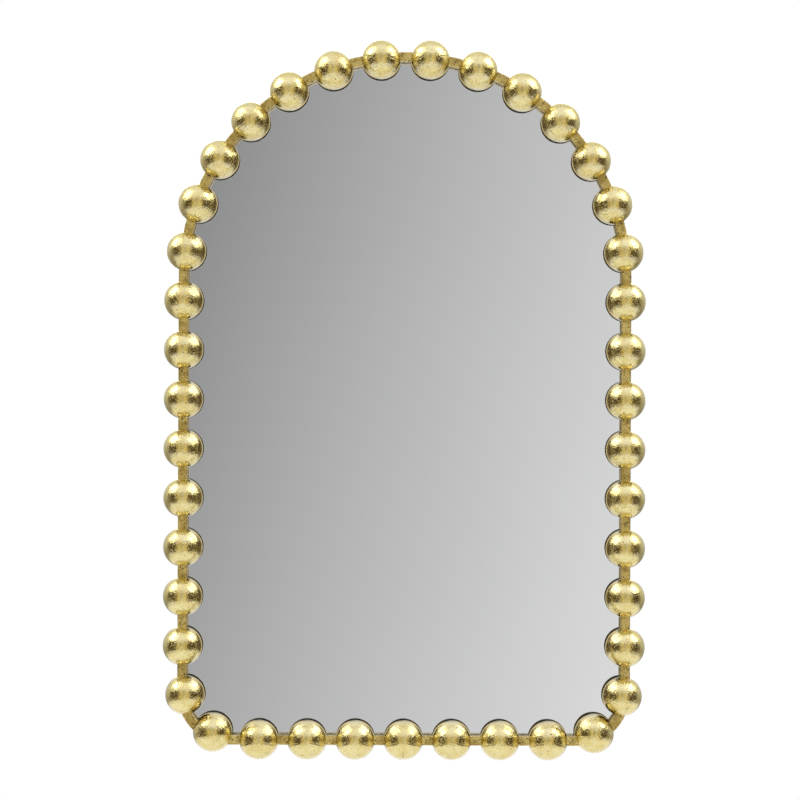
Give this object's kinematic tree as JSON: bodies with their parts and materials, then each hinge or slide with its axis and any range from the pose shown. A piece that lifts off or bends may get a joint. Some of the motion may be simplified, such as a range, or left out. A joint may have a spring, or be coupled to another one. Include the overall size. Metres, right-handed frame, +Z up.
{
  "type": "arched wall mirror",
  "caption": "Arched wall mirror whose frame is a ring of gold-leaf metal beads over one bent square bar, with a backing board and swinging D-ring hangers behind.",
  "frame": {"origin": "on the wall plane, at the centre of the arch, midway between the two hangers", "axes": "+X to the right seen from the front, +Y to the wall, +Z up; the mirror faces -Y"},
  "size_m": [0.612, 0.054, 0.9141],
  "materials": {
    "gold_leaf": "pale gold leaf, satin, mottled",
    "black_steel": "matt black primer",
    "black_foam": "matt foam",
    "white_foam": "matt foam",
    "mirror": "silvered, polished",
    "fibreboard": "raw medium-density fibreboard",
    "zinc_steel": "zinc plated",
    "bumper_rubber": "matt black rubber"
  },
  "bodies": {
    "mirror": {"bead_01": "gold_leaf", "bead_02": "gold_leaf", "bead_03": "gold_leaf", "bead_04": "gold_leaf", "bead_05": "gold_leaf", "bead_06": "gold_leaf", "bead_07": "gold_leaf", "bead_08": "gold_leaf", "bead_09": "gold_leaf", "bead_10": "gold_leaf", "bead_11": "gold_leaf", "bead_12": "gold_leaf", "bead_13": "gold_leaf", "bead_14": "gold_leaf", "bead_15": "gold_leaf", "bead_16": "gold_leaf", "bead_17": "gold_leaf", "bead_18": "gold_leaf", "bead_19": "gold_leaf", "bead_20": "gold_leaf", "bead_21": "gold_leaf", "bead_22": "gold_leaf", "bead_23": "gold_leaf", "bead_24": "gold_leaf", "bead_25": "gold_leaf", "bead_26": "gold_leaf", "bead_27": "gold_leaf", "bead_28": "gold_leaf", "bead_29": "gold_leaf", "bead_30": "gold_leaf", "bead_31": "gold_leaf", "bead_32": "gold_leaf", "bead_33": "gold_leaf", "bead_34": "gold_leaf", "bead_35": "gold_leaf", "bead_36": "gold_leaf", "bead_37": "gold_leaf", "bead_38": "gold_leaf", "bead_39": "gold_leaf", "bead_40": "gold_leaf", "bead_41": "gold_leaf", "frame_bar": "gold_leaf", "rim_band": "black_steel", "retaining_tabs": "black_steel", "glazing_tape": "black_foam", "mounting_tape": "white_foam", "mirror_glass": "mirror", "backing_board": "fibreboard", "left_hanger_strap": "zinc_steel", "right_hanger_strap": "zinc_steel", "hanger_screws": "zinc_steel", "wall_bumpers": "bumper_rubber"},
    "left_ring": {"left_hanger_ring": "zinc_steel"},
    "right_ring": {"right_hanger_ring": "zinc_steel"}
  },
  "joints": [
    {"name": "left_ring_swing", "type": "hinge", "parent": "mirror", "child": "left_ring", "pos_m": [-0.2, -0.0034, 0], "axis": [1, 0, 0], "range_deg": [0, 175]},
    {"name": "right_ring_swing", "type": "hinge", "parent": "mirror", "child": "right_ring", "pos_m": [0.2, -0.0034, 0], "axis": [1, 0, 0], "range_deg": [0, 175]}
  ]
}
